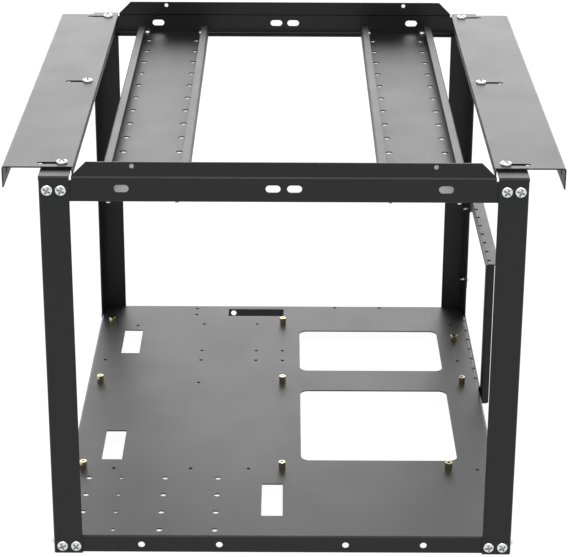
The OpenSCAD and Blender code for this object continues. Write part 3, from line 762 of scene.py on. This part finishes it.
class FRAME_OT_stage(SheetFrameOperator, bpy.types.Operator):
    """Set up the floor, the studio light and the camera."""
    bl_idname = "sheet_frame.stage"
    bl_label = "Stage"

    def execute(self, context):
        settings = context.scene.sheet_studio
        self.floor()
        self.room(context.scene, settings)
        self.lamps()
        self.camera(context.scene, settings)
        context.scene.view_settings.view_transform = "Standard"
        return {"FINISHED"}

    def floor(self):
        """A matt floor that shows white with the frame's shadow, and throws less light up than it shows."""
        reach = FLOOR_REACH
        mesh = bpy.data.meshes.new("studio_floor")
        mesh.from_pydata([(-reach, -reach, 0), (reach, -reach, 0), (reach, reach, 0), (-reach, reach, 0)],
                         [], [(0, 1, 2, 3)])
        material = new_material("matt_white_floor")
        tree = material.node_tree
        dim = add_node(tree, "ShaderNodeBsdfDiffuse", {"Color": grey(FLOOR_GREY)})
        glow = add_node(tree, "ShaderNodeEmission", {"Strength": FLOOR_GLOW})
        soft = add_node(tree, "ShaderNodeBsdfDiffuse", {"Color": grey(FLOOR_SHADOW)})
        pale = add_node(tree, "ShaderNodeAddShader", {0: glow.outputs[0], 1: soft.outputs[0]})
        both = add_node(tree, "ShaderNodeMixShader", {0: self.seen(tree, mirrored=True),
                                                      1: dim.outputs[0], 2: pale.outputs[0]})
        mesh.materials.append(finish_surface(material, both))
        linked("studio_floor", mesh)

    def seen(self, tree, mirrored):
        """1 for rays from the camera, and if mirrored also for rays from gloss and through glass."""
        rays = add_node(tree, "ShaderNodeLightPath").outputs
        if not mirrored:
            return rays["Is Camera Ray"]
        gloss = calc(tree, "ADD", rays["Is Glossy Ray"], rays["Is Transmission Ray"])
        return calc(tree, "ADD", rays["Is Camera Ray"], gloss, use_clamp=True)

    def room(self, scene, settings):
        """A white room with a lit wall behind the frame. The camera sees plain white."""
        world = bpy.data.worlds.new("studio_room")
        world.use_nodes = True
        tree = world.node_tree
        tree.nodes.clear()
        way = add_node(tree, "ShaderNodeTexCoord").outputs["Generated"]
        backward = add_node(tree, "ShaderNodeSeparateXYZ", {"Vector": way}).outputs["Y"]
        # Gloss mirrors a white room, which lights the frame less than it shows
        around = mapped(tree, self.seen(tree, mirrored=True), settings.room_light, 1.0)
        strength = mapped(tree, backward, around, settings.backdrop_light, span=WALL_SPAN,
                          interpolation_type="SMOOTHSTEP")
        lit = add_node(tree, "ShaderNodeBackground", {"Color": grey(1.0), "Strength": strength})
        white = add_node(tree, "ShaderNodeBackground", {"Color": grey(1.0), "Strength": 1.0})
        both = add_node(tree, "ShaderNodeMixShader", {0: self.seen(tree, mirrored=False),
                                                      1: lit.outputs[0], 2: white.outputs[0]})
        add_node(tree, "ShaderNodeOutputWorld", {"Surface": both.outputs[0]})
        scene.world = world

    def lamps(self):
        """Plain soft boxes, which shape the upright faces."""
        for name, place, width, power in SOFT_BOXES:
            lamp = bpy.data.lights.new(name, "AREA")
            lamp.shape = "SQUARE"
            lamp.size = width
            lamp.energy = power
            thing = linked(name, lamp)
            thing.location = place
            aim = Vector((0, 0, AIM_HEIGHT)) - Vector(place)
            thing.rotation_euler = aim.to_track_quat("-Z", "Y").to_euler()

    def camera(self, scene, settings):
        """The camera stands in front and above, and looks down."""
        lens = bpy.data.cameras.new("product_camera")
        lens.sensor_fit = "HORIZONTAL"
        lens.sensor_width = SENSOR_MM
        lens.lens = settings.lens_mm
        lens.clip_start = CLIP_START
        camera = linked("product_camera", lens)
        turn = (Matrix.Rotation(-settings.camera_pitch, 4, "X")
                @ Matrix.Rotation(settings.camera_roll, 4, "Y") @ Matrix.Rotation(QUARTER, 4, "X"))
        camera.matrix_world = Matrix.Translation(Vector(settings.camera_place)) @ turn
        scene.camera = camera


class FRAME_PT_panel(bpy.types.Panel):
    """Shows the settings and a button for each operator."""
    bl_idname = "FRAME_PT_panel"
    bl_label = "Sheet Frame"
    bl_space_type = "VIEW_3D"
    bl_region_type = "UI"
    bl_category = "Sheet Frame"

    def draw(self, context):
        scene = context.scene
        for settings in (scene.sheet_coating, scene.sheet_fasteners, scene.sheet_studio):
            for label in settings.__annotations__:
                self.layout.prop(settings, label)
        for operator in OPERATORS:
            self.layout.operator(operator.bl_idname)


SETTINGS = (CoatingSettings, FastenerSettings, StudioSettings)
OPERATORS = (FRAME_OT_coat_sheets, FRAME_OT_screws, FRAME_OT_standoffs, FRAME_OT_collars, FRAME_OT_stage)


def register():
    for cls in SETTINGS + OPERATORS + (FRAME_PT_panel,):
        bpy.utils.register_class(cls)
    bpy.types.Scene.sheet_coating = bpy.props.PointerProperty(type=CoatingSettings)
    bpy.types.Scene.sheet_fasteners = bpy.props.PointerProperty(type=FastenerSettings)
    bpy.types.Scene.sheet_studio = bpy.props.PointerProperty(type=StudioSettings)


def unregister():
    del bpy.types.Scene.sheet_studio
    del bpy.types.Scene.sheet_fasteners
    del bpy.types.Scene.sheet_coating
    for cls in reversed(SETTINGS + OPERATORS + (FRAME_PT_panel,)):
        bpy.utils.unregister_class(cls)


def main():
    register()
    bpy.ops.sheet_frame.coat_sheets()
    bpy.ops.sheet_frame.screws()
    bpy.ops.sheet_frame.standoffs()
    bpy.ops.sheet_frame.collars()
    bpy.ops.sheet_frame.stage()


if __name__ == "__main__":
    main()
